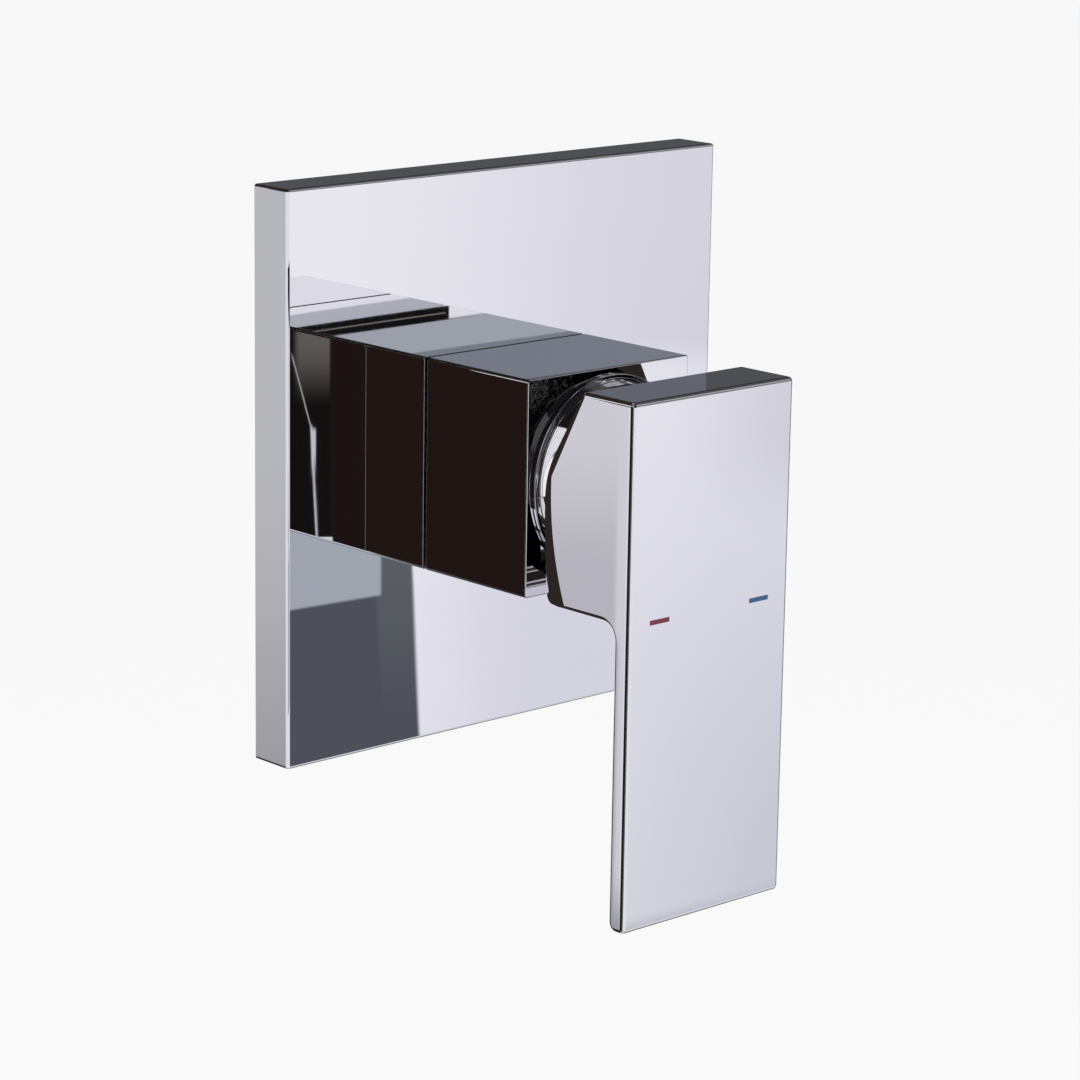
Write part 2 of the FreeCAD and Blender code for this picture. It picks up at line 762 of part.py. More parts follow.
def export(name, shape):
    """Write one node. A list of solids becomes one node of separate solids."""
    solids = []
    for item in shape if isinstance(shape, list) else [shape]:
        solids.extend(item.Solids)
    whole = solids[0] if len(solids) == 1 else Part.makeCompound(solids)
    state = "ok" if whole.isValid() else "INVALID"
    print(f"{name}: {len(solids)} solid(s), {whole.Volume:.1f} mm3, {state}")
    whole.exportStep(f"parts/{name}.step")


def main():
    os.makedirs("parts", exist_ok=True)
    export("wall_plate", make_wall_plate())
    export("foam_seal", make_foam_seal())
    export("plate_grommet", make_plate_grommet())
    export("valve_body", make_valve_body())
    export("spigot_o_rings", make_spigot_o_rings())
    export("sleeve_o_rings", make_sleeve_o_rings())
    export("rear_sleeve", make_rear_sleeve())
    export("seam_ring", make_seam_ring())
    export("front_sleeve", make_front_sleeve())
    export("cap_washer", make_cap_washer())
    export("dome_cap", make_dome_cap())
    export("retaining_nut", make_retaining_nut())
    export("temperature_limit_ring", make_temperature_limit_ring())
    export("cartridge_housing", make_cartridge_housing())
    export("cartridge_base", make_cartridge_base())
    export("base_seals", make_base_seals())
    export("disc_seals", make_disc_seals())
    export("fixed_disc", make_fixed_disc())
    export("moving_disc", make_moving_disc())
    export("disc_slider", make_disc_slider())
    export("carrier", make_carrier())
    export("carrier_o_ring", make_carrier_o_ring())
    export("stem_pin", make_stem_pin())
    export("stem", make_stem())
    export("lever_handle", make_lever_handle())
    export("set_screw", make_set_screw())
    export("screw_cap", make_screw_cap())
    export("hot_mark", mark_block(-1))
    export("cold_mark", mark_block(1))


main()
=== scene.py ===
import math

import bpy
from mathutils import Matrix, Vector


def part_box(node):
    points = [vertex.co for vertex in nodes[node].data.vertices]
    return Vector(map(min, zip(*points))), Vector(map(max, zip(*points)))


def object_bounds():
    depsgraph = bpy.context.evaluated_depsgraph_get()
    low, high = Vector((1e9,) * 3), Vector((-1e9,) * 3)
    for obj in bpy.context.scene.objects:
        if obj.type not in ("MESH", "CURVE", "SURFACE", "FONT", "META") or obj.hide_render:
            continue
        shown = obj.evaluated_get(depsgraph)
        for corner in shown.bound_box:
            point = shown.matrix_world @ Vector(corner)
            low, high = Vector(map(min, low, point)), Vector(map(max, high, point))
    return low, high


# Looks of a chrome shower mixer valve: materials, camera, floor and a soft studio.
# Metres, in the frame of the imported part: +Z up, the wall plane at y = 0, the front towards -Y.
# A heading is an angle about Z in degrees, 0 straight out of the wall and 90 to the viewer's right.

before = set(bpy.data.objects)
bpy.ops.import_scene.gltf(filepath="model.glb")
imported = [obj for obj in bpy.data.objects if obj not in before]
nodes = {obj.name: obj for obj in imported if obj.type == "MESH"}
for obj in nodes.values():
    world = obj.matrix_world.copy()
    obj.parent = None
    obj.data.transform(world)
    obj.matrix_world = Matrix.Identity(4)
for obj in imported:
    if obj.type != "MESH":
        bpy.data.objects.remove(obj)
cad_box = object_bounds()
MM = 0.001
MICRON = 0.001 * MM

# Camera, fitted to the photograph's straight edges
camera_point = Vector((-0.4935, -0.5834, 0.1573))
camera_heading = 42.84
camera_fall = 13.475
camera_roll = 0.906
camera_lens = 124.27
sensor_width = 36.0
nearest_seen = 0.05
farthest_seen = 100.0

# Floor and background
floor_drop = 0.45
floor_size = 40.0
background_tone = "#F8F8F9"
floor_tone = "#FBFBFC"
floor_glow = 0.92

# Level of the plain light on rough surfaces, and the lamps: where they stand, their size and their share
plain_level = 0.62
lamps = {
    "key_lamp": ((-0.75, -0.95, 0.85), 0.7, 0.34),
    "fill_lamp": ((0.95, -0.80, 0.35), 0.8, 0.14),
    "back_lamp": ((0.55, 0.90, 0.75), 0.8, 0.24),
}
lamp_aim = Vector((0.0, -0.05, -0.01))

# Chrome: its colour, how far that strays each way, and how much light it gives back
chrome_tint = (0.868, 0.866, 0.884)
chrome_stray = 0.015
chrome_shine = 0.87

# Heights in the polish: long waves, and a fine peel on them
wave_height = 0.2 * MICRON
peel_height = 0.012 * MICRON

# A ground edge: how far it leans forward, and where that starts and is full in the normal's x and y
edge_lean = 1.5
edge_start = -0.02
edge_full = -0.1

# Raw skin in the hollows: its tones, how far it rolls up and down, and the share of that in its grit
raw_dark = (0.11, 0.108, 0.105)
raw_light = (0.34, 0.333, 0.325)
cast_roll = 1.2 * MM
pressed_roll = 0.15 * MM
grit_share = 0.05

# Walls that stay polished round the hollows, and how softly the hollows begin
hub_wall = 2.05 * MM
hub_front_wall = 4.0 * MM
plate_wall = 0.75 * MM
sleeve_skin = 0.06 * MM
hollow_edge = 0.05 * MM
sleeve_edge = 0.02 * MM

# A face that looks back is the hub's floor within this room behind its front wall, and its rim past it
hub_floor_room = 3.0 * MM

# Turned rings follow the radius on end faces, and the depth by this share along barrels
ring_share = 0.8
ring_height = 0.012 * MM

# The middle of a noise, where most of its change lies
middle = (0.3, 0.7)


def linear(tone):
    """Linear colour of an sRGB tone written as #RRGGBB."""
    channels = []
    for start in (1, 3, 5):
        value = int(tone[start:start + 2], 16) / 255
        channels.append(value / 12.92 if value <= 0.04045 else ((value + 0.055) / 1.055) ** 2.4)
    return channels


def shown_by_chrome(tone):
    """Colour that a card needs for the chrome to show the tone."""
    return [channel / chrome_shine for channel in linear(tone)]


class Tree:
    """Adds and joins the nodes of one shader tree."""

    def __init__(self, tree):
        tree.nodes.clear()
        self.tree = tree

    def add(self, kind, inputs=None, **settings):
        """A new node with its settings and the values of its inputs."""
        node = self.tree.nodes.new(kind)
        for name, value in settings.items():
            setattr(node, name, value)
        for name, value in (inputs or {}).items():
            self.put(node.inputs[name], value)
        return node

    def put(self, socket, value):
        """Joins a socket to another one, or sets it to a plain value. Plain colours are opaque."""
        if isinstance(value, bpy.types.NodeSocket):
            self.tree.links.new(value, socket)
        elif socket.type == "RGBA":
            socket.default_value = (*value, 1.0)
        else:
            socket.default_value = value

    def result(self, kind, operation, values):
        """What a node of the given kind makes of the values."""
        node = self.add(kind, operation=operation)
        for socket, value in zip(node.inputs, values):
            self.put(socket, value)
        return node.outputs[0]

    def math(self, operation, *values):
        """Result of an operation on numbers."""
        return self.result("ShaderNodeMath", operation, values)

    def vector(self, operation, *values):
        """Result of an operation on vectors."""
        return self.result("ShaderNodeVectorMath", operation, values)

    def ramp(self, value, start, end, low=0.0, high=1.0):
        """Smooth change from low to high as the value goes from start to end."""
        node = self.add("ShaderNodeMapRange", {
            "Value": value, "From Min": start, "From Max": end, "To Min": low, "To Max": high,
        }, interpolation_type="SMOOTHSTEP")
        return node.outputs["Result"]

    def blend(self, share, first, second, kind="RGBA"):
        """First value where the share is 0, second where it is 1: colours, or numbers with the kind FLOAT."""
        node = self.add("ShaderNodeMix", data_type=kind)
        factor, a, b = [socket for socket in node.inputs if socket.enabled]
        self.put(factor, share)
        self.put(a, first)
        self.put(b, second)
        return next(socket for socket in node.outputs if socket.enabled)

    def split(self, vector):
        """The three parts of a vector."""
        node = self.add("ShaderNodeSeparateXYZ", {"Vector": vector})
        return node.outputs["X"], node.outputs["Y"], node.outputs["Z"]

    def noise(self, place, size, detail=2.0, roughness=0.5, stretch=(1.0, 1.0, 1.0)):
        """Noise whose grain is about the given size in metres, longer along an axis by its stretch."""
        scaled = self.vector("DIVIDE", place, [size * length for length in stretch])
        node = self.add("ShaderNodeTexNoise", {
            "Vector": scaled, "Scale": 1.0, "Detail": detail, "Roughness": roughness,
        })
        return node.outputs[0]

    def cells(self, place, size):
        """Distance from the middle of the nearest cell, for foam and grit."""
        node = self.add("ShaderNodeTexVoronoi", {"Vector": place, "Scale": 1.0 / size})
        return node.outputs["Distance"]

    def bump(self, height, depth, strength=1.0, below=None):
        """Normal of a surface that the height moves by up to the depth, on top of the normal below."""
        node = self.add("ShaderNodeBump", {"Height": height, "Distance": depth, "Strength": strength})
        if below is not None:
            self.put(node.inputs["Normal"], below)
        return node.outputs["Normal"]


def new_material(name):
    """A material with its tree, its shader and the coordinates of the frame."""
    material = bpy.data.materials.new(name)
    material.use_nodes = True
    tree = Tree(material.node_tree)
    shader = tree.add("ShaderNodeBsdfPrincipled")
    tree.add("ShaderNodeOutputMaterial", {"Surface": shader.outputs["BSDF"]})
    coordinates = tree.add("ShaderNodeTexCoord")
    return material, tree, shader, coordinates


def set_surface(tree, shader, colour, rough, normal, metallic=0.0):
    """Gives a shader the colour, roughness and normal that were worked out for it."""
    tree.put(shader.inputs["Base Color"], colour)
    tree.put(shader.inputs["Roughness"], rough)
    tree.put(shader.inputs["Normal"], normal)
    tree.put(shader.inputs["Metallic"], metallic)


def inside_box(tree, place, low, high, edge):
    """1 inside a box given by its corners, 0 outside, with a soft edge."""
    share = None
    for axis, value in enumerate(tree.split(place)):
        middle = (low[axis] + high[axis]) / 2
        half = (high[axis] - low[axis]) / 2
        off = tree.math("ABSOLUTE", tree.math("SUBTRACT", value, middle))
        part = tree.ramp(off, half - edge, half + edge, 1.0, 0.0)
        share = part if share is None else tree.math("MULTIPLY", share, part)
    return share


def lever_hollow(tree, coordinates):
    """Cast walls and floor of the hub's hollow, but not the hub's polished back rim."""
    low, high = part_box("lever_handle")
    place = coordinates.outputs["Object"]
    half = high.x - hub_wall
    front = low.y + hub_front_wall
    floor_end = front + hub_floor_room
    hollow = inside_box(tree, place, (-half, front, -half), (half, high.y + MM, half), hollow_edge)
    looks_back = tree.ramp(tree.split(coordinates.outputs["Normal"])[1], 0.5, 0.6)
    past_floor = tree.ramp(tree.split(place)[1], floor_end, floor_end + MM)
    on_rim = tree.math("MULTIPLY", looks_back, past_floor)
    return tree.math("MULTIPLY", hollow, tree.math("SUBTRACT", 1.0, on_rim))


def plate_hollow(tree, coordinates):
    """Stamped inside of the wall plate and its cut rim."""
    low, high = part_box("wall_plate")
    low = (low.x + plate_wall, low.y + plate_wall, low.z + plate_wall)
    high = (high.x - plate_wall, high.y + MM, high.z - plate_wall)
    return inside_box(tree, coordinates.outputs["Object"], low, high, hollow_edge)


def sleeve_hollow(tree, coordinates):
    """Bare inside of the square sleeve, as far as the wall, and its sawn ends at the seam."""
    low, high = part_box("front_sleeve")
    low = (low.x + sleeve_skin, low.y + sleeve_skin, low.z + sleeve_skin)
    high = (high.x - sleeve_skin, 0.0, high.z - sleeve_skin)
    return inside_box(tree, coordinates.outputs["Object"], low, high, sleeve_edge)


def broken_edge(tree, coordinates, normal):
    """Leans the normal of a front left edge forward, as on an edge ground flatter than it is round."""
    across, depth, _ = tree.split(coordinates.outputs["Normal"])
    faces_left = tree.ramp(across, edge_start, edge_full)
    faces_front = tree.ramp(depth, edge_start, edge_full)
    on_edge = tree.math("MULTIPLY", faces_left, faces_front)
    ahead = tree.add("ShaderNodeCombineXYZ", {"Y": tree.math("MULTIPLY", on_edge, -edge_lean)})
    return tree.vector("NORMALIZE", tree.vector("ADD", normal, ahead.outputs[0]))


def chrome(name, raw_share=None, raw_roll=0.0, ground_edge=False):
    """Polished chrome, with a raw skin where raw_share, a function of tree and coordinates, is 1."""
    material, tree, shader, coordinates = new_material(name)
    place = coordinates.outputs["Object"]
    haze = tree.noise(place, 24 * MM, detail=5.0, roughness=0.6)
    streaks = tree.noise(place, 1.1 * MM, detail=3.0, stretch=(1.0, 1.0, 14.0))
    waves = tree.noise(place, 17 * MM, detail=1.0)
    peel = tree.noise(place, 1.4 * MM, detail=2.0)
    duller = [channel * (1 - chrome_stray) for channel in chrome_tint]
    clearer = [channel * (1 + chrome_stray) for channel in chrome_tint]
    colour = tree.blend(haze, duller, clearer)
    hazy = tree.ramp(haze, 0.35, 0.75, 0.003, 0.009)
    rough = tree.math("ADD", hazy, tree.ramp(streaks, 0.4, 0.8, 0.0, 0.004))
    normal = tree.bump(waves, wave_height)
    normal = tree.bump(peel, peel_height, below=normal)
    if ground_edge:
        normal = broken_edge(tree, coordinates, normal)
    if raw_share is not None:
        raw = raw_share(tree, coordinates)
        sand = tree.noise(place, 0.7 * MM, detail=6.0, roughness=0.65)
        flow = tree.noise(place, 5 * MM, detail=2.0, stretch=(1.0, 2.0, 0.6))
        pits = tree.cells(place, 1.6 * MM)
        grit = tree.math("ADD", sand, tree.math("MULTIPLY", pits, 0.6))
        colour = tree.blend(raw, colour, tree.blend(tree.ramp(sand, *middle), raw_dark, raw_light))
        rough = tree.blend(raw, rough, tree.ramp(sand, *middle, 0.26, 0.42), "FLOAT")
        normal = tree.bump(flow, raw_roll, strength=raw, below=normal)
        normal = tree.bump(grit, grit_share * raw_roll, strength=raw, below=normal)
    set_surface(tree, shader, colour, rough, normal, metallic=1.0)
    return material


def turned_metal(name, dark, light, ring_size, low_gloss, high_gloss):
    """Lathe-turned metal: fine rings about the valve axis, with a little tarnish."""
    material, tree, shader, coordinates = new_material(name)
    place = coordinates.outputs["Object"]
    x, y, z = tree.split(place)
    square = tree.math("ADD", tree.math("MULTIPLY", x, x), tree.math("MULTIPLY", z, z))
    radius = tree.math("SQRT", square)
    turn = tree.math("ADD", radius, tree.math("MULTIPLY", y, ring_share))
    steps = {"W": tree.math("DIVIDE", turn, ring_size), "Scale": 1.0, "Detail": 3.0}
    rings = tree.add("ShaderNodeTexNoise", steps, noise_dimensions="1D").outputs[0]
    tarnish = tree.noise(place, 6 * MM, detail=6.0, roughness=0.65)
    colour = tree.blend(tree.ramp(tarnish, 0.35, 0.7), light, dark)
    worn = tree.ramp(tarnish, *middle, low_gloss, high_gloss)
    rough = tree.math("ADD", worn, tree.ramp(rings, 0.4, 0.7, 0.0, 0.08))
    set_surface(tree, shader, colour, rough, tree.bump(rings, ring_height), metallic=1.0)
    return material


def moulded(name, dark, light, gloss, grain_size, grain_depth):
    """Moulded plastic, nylon or rubber: fine grain, faint flow marks and a soft shine."""
    material, tree, shader, coordinates = new_material(name)
    place = coordinates.outputs["Object"]
    grain = tree.noise(place, grain_size, detail=4.0, roughness=0.6)
    flow = tree.noise(place, 7 * MM, detail=3.0, stretch=(1.0, 2.5, 1.0))
    colour = tree.blend(tree.ramp(flow, *middle), dark, light)
    rough = tree.ramp(grain, *middle, gloss, gloss + 0.12)
    set_surface(tree, shader, colour, rough, tree.bump(grain, grain_depth))
    return material


def closed_cell_foam(name, pit_shade, dark, light):
    """Foam with small closed cells, painted darkest in their middles as shade in the pits, and patches in its
    skin.
    """
    material, tree, shader, coordinates = new_material(name)
    place = coordinates.outputs["Object"]
    cells = tree.cells(place, 0.55 * MM)
    patches = tree.noise(place, 5 * MM, detail=3.0)
    skin = tree.blend(tree.ramp(patches, *middle), dark, light)
    # The middles of the cells, which the bump sinks, take the pit colour: painted shade in the pits.
    colour = tree.blend(tree.ramp(cells, 0.1, 0.5), pit_shade, skin)
    rough = tree.ramp(cells, 0.0, 0.6, 0.75, 0.95)
    set_surface(tree, shader, colour, rough, tree.bump(cells, 0.15 * MM))
    return material


def lapped_ceramic(name, speck, dark, light):
    """Clouded ceramic with a faint speckle and a lapped sheen."""
    material, tree, shader, coordinates = new_material(name)
    place = coordinates.outputs["Object"]
    speckle = tree.noise(place, 0.25 * MM, detail=3.0)
    clouds = tree.noise(place, 5 * MM, detail=3.0)
    colour = tree.blend(tree.ramp(speckle, 0.66, 0.78), tree.blend(clouds, dark, light), speck)
    rough = tree.ramp(speckle, *middle, 0.14, 0.24)
    set_surface(tree, shader, colour, rough, tree.bump(speckle, 0.003 * MM))
    return material


def baked_enamel(name, deep, fresh):
    """Enamel let into the lever: even colour with a slight orange peel."""
    material, tree, shader, coordinates = new_material(name)
    pool = tree.noise(coordinates.outputs["Object"], 0.9 * MM, detail=3.0)
    colour = tree.blend(tree.ramp(pool, *middle), deep, fresh)
    rough = tree.ramp(pool, *middle, 0.16, 0.28)
    set_surface(tree, shader, colour, rough, tree.bump(pool, 0.01 * MM))
    return material


def dress_nodes():
    """One procedural material for every node of the part."""
    brass = turned_metal("body_brass", (0.46, 0.33, 0.15), (0.72, 0.54, 0.27), 0.12 * MM, 0.22, 0.36)
    steel = turned_metal("pin_steel", (0.42, 0.42, 0.43), (0.62, 0.62, 0.63), 0.05 * MM, 0.2, 0.3)
    rubber = moulded("seal_rubber", (0.018, 0.018, 0.019), (0.035, 0.035, 0.036), 0.5, 0.3 * MM, 0.01 * MM)
    nylon = moulded("dark_nylon", (0.006, 0.006, 0.006), (0.012, 0.011, 0.011), 0.46, 0.2 * MM, 0.006 * MM)
    plug = moulded("grey_plug", (0.48, 0.48, 0.50), (0.58, 0.58, 0.60), 0.32, 0.25 * MM, 0.004 * MM)
    case = moulded("housing_plastic", (0.74, 0.74, 0.71), (0.84, 0.84, 0.82), 0.36, 0.3 * MM, 0.006 * MM)
    carrier = moulded("carrier_plastic", (0.15, 0.165, 0.19), (0.22, 0.24, 0.27), 0.4, 0.3 * MM, 0.008 * MM)
    limit = moulded("limit_plastic", (0.48, 0.035, 0.035), (0.62, 0.06, 0.055), 0.34, 0.3 * MM, 0.006 * MM)
    # The foam's first colour is painted shade for its pits.
    foam = closed_cell_foam("foam", (0.04, 0.04, 0.042), (0.075, 0.075, 0.078), (0.13, 0.13, 0.132))
    ceramic = lapped_ceramic("disc_ceramic", (0.62, 0.60, 0.55), (0.86, 0.85, 0.81), (0.91, 0.90, 0.87))
    red = baked_enamel("red_enamel", (0.15, 0.014, 0.034), (0.19, 0.02, 0.045))
    blue = baked_enamel("blue_enamel", (0.02, 0.08, 0.2), (0.03, 0.105, 0.25))
    materials = {
        chrome("chrome_plate", plate_hollow, pressed_roll, ground_edge=True): ["wall_plate"],
        chrome("chrome_lever", lever_hollow, cast_roll): ["lever_handle"],
        chrome("chrome_sleeve", sleeve_hollow, pressed_roll): ["rear_sleeve", "front_sleeve"],
        chrome("chrome_cap"): ["dome_cap"],
        brass: ["valve_body", "retaining_nut", "stem"],
        steel: ["stem_pin", "set_screw"],
        rubber: [
            "spigot_o_rings", "sleeve_o_rings", "plate_grommet", "base_seals", "disc_seals", "carrier_o_ring",
        ],
        foam: ["foam_seal"],
        nylon: ["seam_ring", "cap_washer"],
        plug: ["screw_cap"],
        case: ["cartridge_housing", "cartridge_base"],
        carrier: ["carrier", "disc_slider"],
        limit: ["temperature_limit_ring"],
        ceramic: ["fixed_disc", "moving_disc"],
        red: ["hot_mark"],
        blue: ["cold_mark"],
    }
    for material, names in materials.items():
        for name in names:
            for slot in nodes[name].material_slots:
                slot.material = material


class Card:
    """A card or flag of the studio: its tone, and where it begins and ends in heading and in elevation.

    Each of the four edges is a pair of angles in degrees between which the card fades in or out. The lean is
    how far the lower and upper edges rise for each degree of heading, counted from where the card begins.
    The slant is how far the side edges move for each degree of elevation, counted from the lower edge.
    """

    def __init__(self, tone, heading_in, heading_out, low, high, lean=0.0, slant=0.0):
        self.tone = tone
        self.heading_in = heading_in
        self.heading_out = heading_out
        self.low = low
        self.high = high
        self.lean = lean
        self.slant = slant

    def share(self, tree, heading, elevation):
        """1 on the card and 0 beside it."""
        level = elevation
        if self.lean:
            offset = tree.math("SUBTRACT", heading, self.heading_in[0])
            level = tree.math("SUBTRACT", elevation, tree.math("MULTIPLY", offset, self.lean))
        side = heading
        if self.slant:
            rise = tree.math("SUBTRACT", elevation, self.low[0])
            side = tree.math("SUBTRACT", heading, tree.math("MULTIPLY", rise, self.slant))
        begun = tree.ramp(side, *self.heading_in)
        not_ended = tree.ramp(side, *self.heading_out, 1.0, 0.0)
        above = tree.ramp(level, *self.low)
        not_over = tree.ramp(level, *self.high, 1.0, 0.0)
        across = tree.math("MULTIPLY", begun, not_ended)
        upright = tree.math("MULTIPLY", above, not_over)
        return tree.math("MULTIPLY", across, upright)


def rear_cards(tone, heading_in, heading_out, low, high):
    """A wall straight behind, as two cards that meet where the heading turns from 180 to -180."""
    return [
        Card(tone, heading_in, (181, 182), low, high),
        Card(tone, (-182, -181), heading_out, low, high),
    ]


def sleeve_top_card(tone, low, high, heading_out=(48, 50)):
    """A card high on the right-hand front, which the sleeve's top shows by way of the plate."""
    return Card(tone, (38.5, 38.6), heading_out, low, high, lean=-0.15)


# Tones round the cards, in front and behind, and the headings between which one turns into the other
front_tone = "#4C4B4E"
back_tone = "#2A2422"
side_heading = 95
rear_heading = 130

# What the chrome sees, from the large cards to the small ones, set to look like the photograph.
# The narrow ones stand for mirror images, and fall on the part as in the photograph from its own side only.
all_round = ((-180, -179), (179, 180))
wall_tone = "#B4B4B8"
strip_tone = "#E8E8EC"
cards = [
    # Soft walls behind, level and high
    *rear_cards(wall_tone, (146, 152), (-176, -171), (-34, -28), (24, 30)),
    *rear_cards(wall_tone, (150, 156), (-156, -150), (52, 58), (84, 88)),
    # Soft walls in front, high on the right-hand front and high on the left, soft roof and pale floor
    Card("#DCDCE2", (-37, -36), (86, 100), (-64, -30), (-4, -1)),
    Card("#A4A4AA", (39, 41), (60, 70), (16, 19), (32, 36)),
    Card("#77777C", (-136, -126), (-66, -56), (8, 14), (38, 46)),
    Card("#E8E8EE", *all_round, (81, 86), (89, 90)),
    Card("#C4C4CA", *all_round, (-90, -89), (-60, -52)),
    # Dark flags on the left, up to the camera, and high in front
    Card("#1E1B1A", (-122, -116), (-37, -36), (-40, -34), (4, 8)),
    Card("#161516", (-46, -44), (28, 34), (2, 5), (58, 64)),
    # The dome's wall sees bright strips on the left and beside the camera
    Card("#EDEDF0", (-127.8, -127.4), (-124.7, -124.3), (-24, -20), (16, 20)),
    Card(strip_tone, (-54, -52), (-42, -40), (-38, -36), (-20, -19)),
    Card(strip_tone, (-54.8, -54.5), (-52.4, -52.1), (-20, -19), (-9.6, -9.4)),
    Card(strip_tone, (-57, -56.5), (-51, -50.5), (-9.6, -9.4), (20, 21)),
    Card(strip_tone, (-60, -58), (-43.5, -42.5), (20, 21), (35, 36)),
    Card(strip_tone, (-64, -61), (-33, -30), (35, 36), (42.5, 44.0)),
    # The right edges of the plate, the sleeve and the lever see a dark strip
    Card("#2E2D30", (60, 64), (82, 86), (-30, -26), (-4, -1)),
    # Their fronts see the right-hand front
    Card("#E8E7EE", (30, 36), (50, 56), (-28, -22), (-4, -1)),
    Card("#D4D3DC", (39.2, 45.6), (50, 56), (-10.9, -10.3), (-4, -1)),
    Card("#D2D1D9", (44.6, 47.2), (50, 56), (-13.6, -11.6), (-10.9, -10.3)),
    Card("#BABBC7", (39, 50), (54, 60), (-30, -24), (-20, -7)),
    Card("#D3D2DD", (40.0, 43.2), (44.0, 44.4), (-22, -20), (-14.4, -13.4)),
    Card("#B0B0BA", (43.0, 43.4), (50, 56), (-30, -24), (-19.95, -19.58), lean=0.28),
    Card("#4D5058", (38.5, 38.7), (41.37, 41.45), (-24, -20), (-13.0, -12.94), slant=-0.06),
    Card("#5A5E63", (40.36, 40.42), (40.94, 41.02), (-16.5, -13.6), (-13.0, -12.94), slant=-0.06),
    Card("#9FA5AE", (38.0, 38.4), (40.30, 40.36), (-14.76, -14.70), (-12.8, -12.7), lean=0.165),
    # Their left sides see what lies behind them on the left
    Card("#B6B6BB", (-146, -143), (-140.8, -140.65), (-26, -11.5), (4, 8)),
    Card("#1F1614", (-140.8, -140.65), (-137.19, -137.15), (-30, -20), (4, 8)),
    Card("#CBCAD1", (-137.19, -137.15), (-135.5, -135.3), (-30, -22), (6, 9)),
    Card("#B4B3BB", (-137.19, -137.15), (-136.0, -135.9), (-15.6, -14.6), (-14.2, -11.6)),
    Card("#86868D", (-136.6, -136.5), (-135.97, -135.84), (-30, -24), (-15.2, -14.8)),
    Card("#F0F0F4", (-135.81, -135.74), (-135.5, -135.3), (-30, -22), (6, 9)),
    Card("#8E8F96", (-136.6, -136.5), (-135.5, -135.3), (-30, -24), (-19.7, -18.4)),
    Card("#ECECF0", (-136.15, -136.05), (-128, -122), (7, 8), (19, 21), slant=-0.27),
    # The tops of the plate and the lever see what lies behind them on the right
    Card("#4C4D51", (132, 133), (143, 145), (6.5, 7.0), (12.5, 13.5)),
    # The sleeve's top sees the plate, and in it what lies high on the right-hand front
    sleeve_top_card("#E3E2EA", (8.6, 9.0), (10.5, 10.55)),
    sleeve_top_card("#B0B3BB", (10.115, 10.13), (10.315, 10.33), heading_out=(41.27, 41.29)),
    sleeve_top_card("#141213", (10.315, 10.33), (10.53, 10.545), heading_out=(41.36, 41.375)),
    sleeve_top_card("#77756F", (10.415, 10.423), (10.433, 10.441), heading_out=(41.31, 41.32)),
    sleeve_top_card("#A2A6AF", (10.53, 10.55), (10.97, 10.99)),
    sleeve_top_card("#7A7F89", (10.97, 10.99), (11.6, 11.64)),
    sleeve_top_card("#666872", (11.6, 11.64), (14, 15)),
    # The sleeve's left side sees the plate too, and in it what stands by the camera
    Card("#1F1614", (-46, -44), (-39.53, -39.52), (-15.5, -15.0), (-9.6, -9.2)),
    Card("#141211", (-39.53, -39.52), (-37.5, -36.5), (-15.5, -15.0), (-9.6, -9.2)),
    Card("#625E59", (-39.53, -39.50), (-39.06, -38.92), (-11.5, -10.4), (-10.35, -10.25)),
    Card("#A0A0A4", (-39.245, -39.235), (-39.225, -39.215), (-11.80, -11.74), (-10.75, -10.6), slant=0.27),
    Card("#B8B8C0", (-39.345, -39.335), (-39.31, -39.30), (-13.6, -13.55), (-11.8, -11.7), slant=0.051),
    Card("#C8C8D2", (-39.31, -39.29), (-39.24, -39.22), (-12.6, -12.1), (-11.85, -11.75)),
    Card("#DCDCE0", (-39.57, -39.56), (-39.33, -39.32), (-13.56, -13.54), (-13.47, -13.45)),
]


def studio_world():
    """The studio that glossy rays see, a plain level for rough surfaces and a pale background."""
    world = bpy.data.worlds.new("studio")
    world.use_nodes = True
    # Rough surfaces see one even level, so the world needs no map of its bright places
    world.cycles.sampling_method = "NONE"
    tree = Tree(world.node_tree)
    x, y, z = tree.split(tree.add("ShaderNodeTexCoord").outputs["Generated"])
    heading = tree.math("DEGREES", tree.math("ARCTAN2", x, tree.math("MULTIPLY", y, -1.0)))
    elevation = tree.math("DEGREES", tree.math("ARCSINE", z))
    behind = tree.ramp(tree.math("ABSOLUTE", heading), side_heading, rear_heading)
    seen = tree.blend(behind, shown_by_chrome(front_tone), shown_by_chrome(back_tone))
    for card in cards:
        seen = tree.blend(card.share(tree, heading, elevation), seen, shown_by_chrome(card.tone))
    rays = tree.add("ShaderNodeLightPath").outputs
    mirrored = tree.math("MAXIMUM", rays["Is Glossy Ray"], rays["Is Transmission Ray"])
    colour = tree.blend(mirrored, [plain_level] * 3, seen)
    colour = tree.blend(rays["Is Camera Ray"], colour, linear(background_tone))
    background = tree.add("ShaderNodeBackground", {"Color": colour, "Strength": 1.0})
    tree.add("ShaderNodeOutputWorld", {"Surface": background.outputs[0]})
    bpy.context.scene.world = world


def place_lamps():
    """Soft square lamps, each giving the part its share of light. The chrome sees the cards instead."""
    for name, (point, size, share) in lamps.items():
        light = bpy.data.lights.new(name, "AREA")
        light.shape = "SQUARE"
        light.size = size
        away = Vector(point) - lamp_aim
        light.energy = share * math.pi ** 2 * away.length_squared
        lamp = bpy.data.objects.new(name, light)
        lamp.location = point
        lamp.rotation_euler = away.to_track_quat("Z", "Y").to_euler()
        lamp.visible_camera = False
        lamp.visible_glossy = False
        bpy.context.scene.collection.objects.link(lamp)


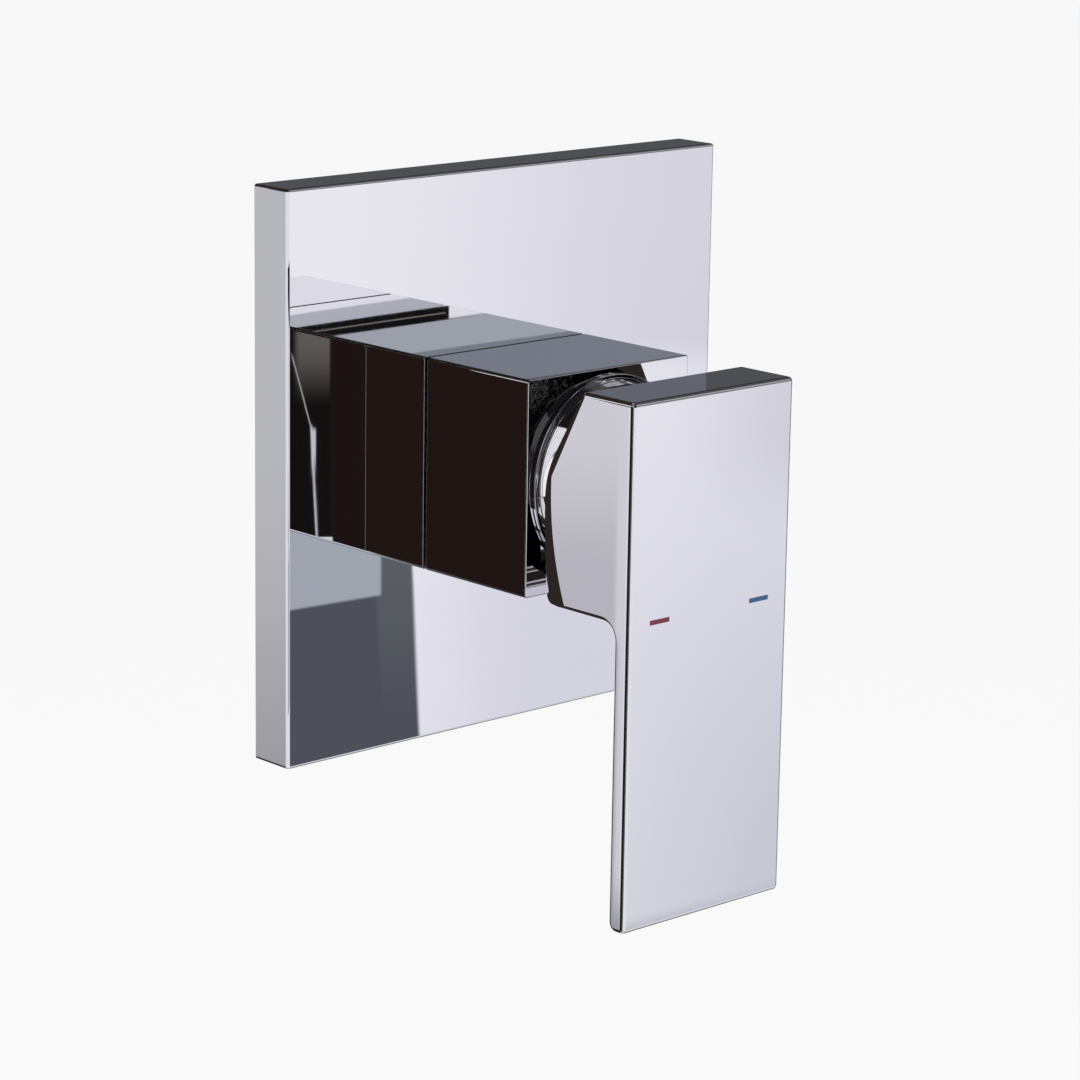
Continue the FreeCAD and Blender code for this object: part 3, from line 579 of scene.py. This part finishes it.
def pale_floor():
    """Pale floor well below the valve, which hangs on a wall. It glows for the camera but takes shadow."""
    half = floor_size / 2
    level = cad_box[0].z - floor_drop
    mesh = bpy.data.meshes.new("floor")
    corners = [(-half, -half, level), (half, -half, level), (half, half, level), (-half, half, level)]
    mesh.from_pydata(corners, [], [(0, 1, 2, 3)])
    floor = bpy.data.objects.new("floor", mesh)
    bpy.context.scene.collection.objects.link(floor)
    floor.visible_glossy = False
    material = bpy.data.materials.new("pale_floor")
    material.use_nodes = True
    tree = Tree(material.node_tree)
    tone = linear(floor_tone)
    matt = tree.add("ShaderNodeBsdfDiffuse", {"Color": tone})
    glow = tree.add("ShaderNodeEmission", {"Color": tone, "Strength": 1.0})
    rays = tree.add("ShaderNodeLightPath").outputs
    seen = tree.math("MAXIMUM", rays["Is Camera Ray"], rays["Is Transmission Ray"])
    mixed = tree.add("ShaderNodeMixShader", {"Fac": tree.math("MULTIPLY", seen, floor_glow)})
    tree.put(mixed.inputs[1], matt.outputs[0])
    tree.put(mixed.inputs[2], glow.outputs[0])
    tree.add("ShaderNodeOutputMaterial", {"Surface": mixed.outputs[0]})
    mesh.materials.append(material)


def place_camera():
    """The camera, turned by its heading, its fall below the level and its roll."""
    heading = math.radians(camera_heading)
    fall = math.radians(camera_fall)
    roll = math.radians(camera_roll)
    ahead = Vector((math.sin(heading) * math.cos(fall), math.cos(heading) * math.cos(fall), -math.sin(fall)))
    level_right = Vector((math.cos(heading), -math.sin(heading), 0.0))
    level_up = level_right.cross(ahead)
    right = level_right * math.cos(roll) + level_up * math.sin(roll)
    up = level_up * math.cos(roll) - level_right * math.sin(roll)
    data = bpy.data.cameras.new("photo_camera")
    data.sensor_width = sensor_width
    data.lens = camera_lens
    data.clip_start = nearest_seen
    data.clip_end = farthest_seen
    camera = bpy.data.objects.new("photo_camera", data)
    turn = Matrix((right, up, -ahead)).transposed()
    camera.matrix_world = Matrix.Translation(camera_point) @ turn.to_4x4()
    bpy.context.scene.collection.objects.link(camera)
    bpy.context.scene.camera = camera


dress_nodes()
studio_world()
place_lamps()
pale_floor()
place_camera()
bpy.context.scene.view_settings.view_transform = "Standard"
